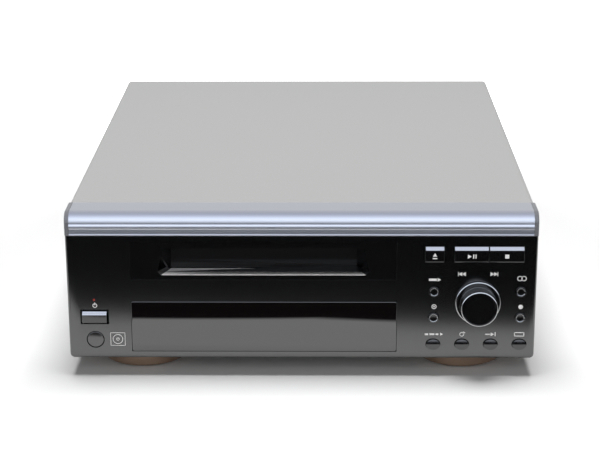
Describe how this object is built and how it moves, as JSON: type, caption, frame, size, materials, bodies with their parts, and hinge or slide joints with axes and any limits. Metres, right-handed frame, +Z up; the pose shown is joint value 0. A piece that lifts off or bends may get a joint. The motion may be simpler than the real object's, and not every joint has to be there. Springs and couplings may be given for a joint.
{
  "type": "minidisc deck",
  "caption": "Half-width disc deck: grey steel case on round feet, black front with disc slot, display window, jog knob and push buttons, sprung slot door, inner disc drive.",
  "frame": {"origin": "middle of the whole footprint, on the surface the feet stand on", "axes": "+X to the right seen from the front, +Y to the back, +Z up"},
  "size_m": [0.2122, 0.272, 0.078],
  "materials": {
    "grey_paint": "fine matt grey paint on sheet steel",
    "plated_sheet": "zinc-plated sheet steel",
    "black_sheet": "matt black painted sheet steel",
    "aluminium_trim": "anodised extrusion, satin",
    "black_moulding": "semi-gloss black moulding",
    "gloss_black": "polished black plastic",
    "smoked_window": "smoked acrylic, polished",
    "tube_glass": "dark display tube",
    "remote_filter": "dark infrared filter",
    "lamp_red": "clear red light pipe",
    "knob_black": "black knob with a bright rim",
    "steel": "ground steel",
    "spring_steel": "spring wire",
    "screw_black": "blackened steel",
    "circuit_board": "green solder resist",
    "chip_black": "moulded package",
    "capacitor_sleeve": "shrink sleeve",
    "core_steel": "varnished laminations",
    "winding_tape": "winding under tape",
    "heat_aluminium": "plain extrusion",
    "white_moulding": "low-friction white plastic",
    "grey_moulding": "glass-filled plastic",
    "rubber_black": "soft rubber",
    "foot_tan": "copper-tan foot",
    "jack_plate": "nickel-plated barrels on a black block",
    "jack_white": "coloured insulators"
  },
  "bodies": {
    "deck": {"board_capacitors": "capacitor_sleeve", "board_chips": "chip_black", "bottom_chassis": "plated_sheet", "display_tube": "tube_glass", "display_window": "smoked_window", "door_spring": "spring_steel", "feet": "foot_tan", "foot_pads": "rubber_black", "front_board": "circuit_board", "front_panel": "black_moulding", "front_trim": "aluminium_trim", "heat_sink": "heat_aluminium", "loading_motor": "steel", "main_board": "circuit_board", "mains_inlet": "black_moulding", "mechanism_base": "grey_moulding", "mechanism_bracket": "plated_sheet", "mechanism_dampers": "rubber_black", "optical_jacks": "chip_black", "phono_inserts": "jack_white", "phono_jacks": "jack_plate", "power_board": "circuit_board", "rear_panel": "black_sheet", "remote_window": "remote_filter", "rotary_encoder": "plated_sheet", "screws": "screw_black", "sled_motor": "steel", "sled_rods": "steel", "slot_bezel": "gloss_black", "spindle_motor": "steel", "standby_lamp": "lamp_red", "tact_switches": "chip_black", "top_cover": "grey_paint", "transformer_core": "core_steel", "transformer_winding": "winding_tape", "trim_end_cap_left": "black_moulding", "trim_end_cap_right": "black_moulding"},
    "door": {"slot_door": "gloss_black"},
    "power": {"power_button": "gloss_black"},
    "eject": {"eject_button": "gloss_black"},
    "play_pause": {"play_pause_button": "gloss_black"},
    "stop": {"stop_button": "gloss_black"},
    "edit": {"edit_button": "gloss_black"},
    "sync": {"sync_button": "gloss_black"},
    "set": {"set_button": "gloss_black"},
    "record": {"record_button": "gloss_black"},
    "scroll": {"scroll_button": "gloss_black"},
    "repeat": {"repeat_button": "gloss_black"},
    "input": {"input_button": "gloss_black"},
    "display": {"display_button": "gloss_black"},
    "jog": {"jog_knob": "knob_black", "encoder_shaft": "steel"},
    "holder": {"cartridge_holder": "plated_sheet"},
    "cam": {"cam_slider": "white_moulding"},
    "gear": {"loading_gear": "white_moulding"},
    "pinion": {"loading_pinion": "white_moulding"},
    "spindle": {"turntable": "grey_moulding"},
    "sled": {"optical_pickup": "heat_aluminium"},
    "screw_shaft": {"lead_screw": "steel"},
    "arm": {"head_arm": "plated_sheet"}
  },
  "joints": [
    {"name": "door_swing", "type": "hinge", "parent": "deck", "child": "door", "pos_m": [-0.0169, -0.1165, 0.0621], "axis": [1, 0, 0], "range_deg": [0, 75], "stiffness_Nm_per_rad": 0.002, "springref_deg": -20.05, "deforming": ["door_spring"]},
    {"name": "power_press", "type": "slide", "parent": "deck", "child": "power", "axis": [0, 1, 0], "range_m": [0, 0.0005], "stiffness_N_per_m": 400, "springref_m": -0.0005},
    {"name": "eject_press", "type": "slide", "parent": "deck", "child": "eject", "axis": [0, 1, 0], "range_m": [0, 0.0005], "stiffness_N_per_m": 400, "springref_m": -0.0005},
    {"name": "play_pause_press", "type": "slide", "parent": "deck", "child": "play_pause", "axis": [0, 1, 0], "range_m": [0, 0.0005], "stiffness_N_per_m": 400, "springref_m": -0.0005},
    {"name": "stop_press", "type": "slide", "parent": "deck", "child": "stop", "axis": [0, 1, 0], "range_m": [0, 0.0005], "stiffness_N_per_m": 400, "springref_m": -0.0005},
    {"name": "edit_press", "type": "slide", "parent": "deck", "child": "edit", "axis": [0, 1, 0], "range_m": [0, 0.0005], "stiffness_N_per_m": 400, "springref_m": -0.0005},
    {"name": "sync_press", "type": "slide", "parent": "deck", "child": "sync", "axis": [0, 1, 0], "range_m": [0, 0.0005], "stiffness_N_per_m": 400, "springref_m": -0.0005},
    {"name": "set_press", "type": "slide", "parent": "deck", "child": "set", "axis": [0, 1, 0], "range_m": [0, 0.0005], "stiffness_N_per_m": 400, "springref_m": -0.0005},
    {"name": "record_press", "type": "slide", "parent": "deck", "child": "record", "axis": [0, 1, 0], "range_m": [0, 0.0005], "stiffness_N_per_m": 400, "springref_m": -0.0005},
    {"name": "scroll_press", "type": "slide", "parent": "deck", "child": "scroll", "axis": [0, 1, 0], "range_m": [0, 0.0005], "stiffness_N_per_m": 400, "springref_m": -0.0005},
    {"name": "repeat_press", "type": "slide", "parent": "deck", "child": "repeat", "axis": [0, 1, 0], "range_m": [0, 0.0005], "stiffness_N_per_m": 400, "springref_m": -0.0005},
    {"name": "input_press", "type": "slide", "parent": "deck", "child": "input", "axis": [0, 1, 0], "range_m": [0, 0.0005], "stiffness_N_per_m": 400, "springref_m": -0.0005},
    {"name": "display_press", "type": "slide", "parent": "deck", "child": "display", "axis": [0, 1, 0], "range_m": [0, 0.0005], "stiffness_N_per_m": 400, "springref_m": -0.0005},
    {"name": "jog_turn", "type": "hinge", "parent": "deck", "child": "jog", "pos_m": [0.079, -0.127, 0.03595], "axis": [0, -1, 0], "continuous": true},
    {"name": "holder_lower", "type": "slide", "parent": "deck", "child": "holder", "axis": [0, 0, -1], "range_m": [0, 0.006]},
    {"name": "cam_slide", "type": "slide", "parent": "deck", "child": "cam", "axis": [0, 1, 0], "range_m": [0, 0.012]},
    {"name": "gear_turn", "type": "hinge", "parent": "deck", "child": "gear", "pos_m": [0.0405, -0.069, 0.035], "axis": [0, 0, 1], "range_deg": [-72, 0]},
    {"name": "pinion_turn", "type": "hinge", "parent": "deck", "child": "pinion", "pos_m": [0.0549, -0.069, 0.035], "axis": [0, 0, 1], "range_deg": [0, 144]},
    {"name": "spindle_turn", "type": "hinge", "parent": "deck", "child": "spindle", "pos_m": [-0.0169, -0.069, 0.035], "axis": [0, 0, 1], "continuous": true},
    {"name": "sled_slide", "type": "slide", "parent": "deck", "child": "sled", "axis": [1, 0, 0], "range_m": [0, 0.0155]},
    {"name": "screw_turn", "type": "hinge", "parent": "deck", "child": "screw_shaft", "pos_m": [-0.0169, -0.046, 0.0393], "axis": [1, 0, 0], "range_deg": [0, 1870]},
    {"name": "arm_lift", "type": "hinge", "parent": "sled", "child": "arm", "pos_m": [0.0001, -0.0105, 0.0615], "axis": [-1, 0, 0], "range_deg": [0, 8]}
  ],
  "couplings": [
    {"joint": "cam_slide", "follows": "holder_lower", "ratio": 2},
    {"joint": "gear_turn", "follows": "holder_lower", "rad_per_m": -208.33},
    {"joint": "pinion_turn", "follows": "holder_lower", "rad_per_m": 416.67},
    {"joint": "screw_turn", "follows": "sled_slide", "rad_per_m": 2094.4}
  ]
}
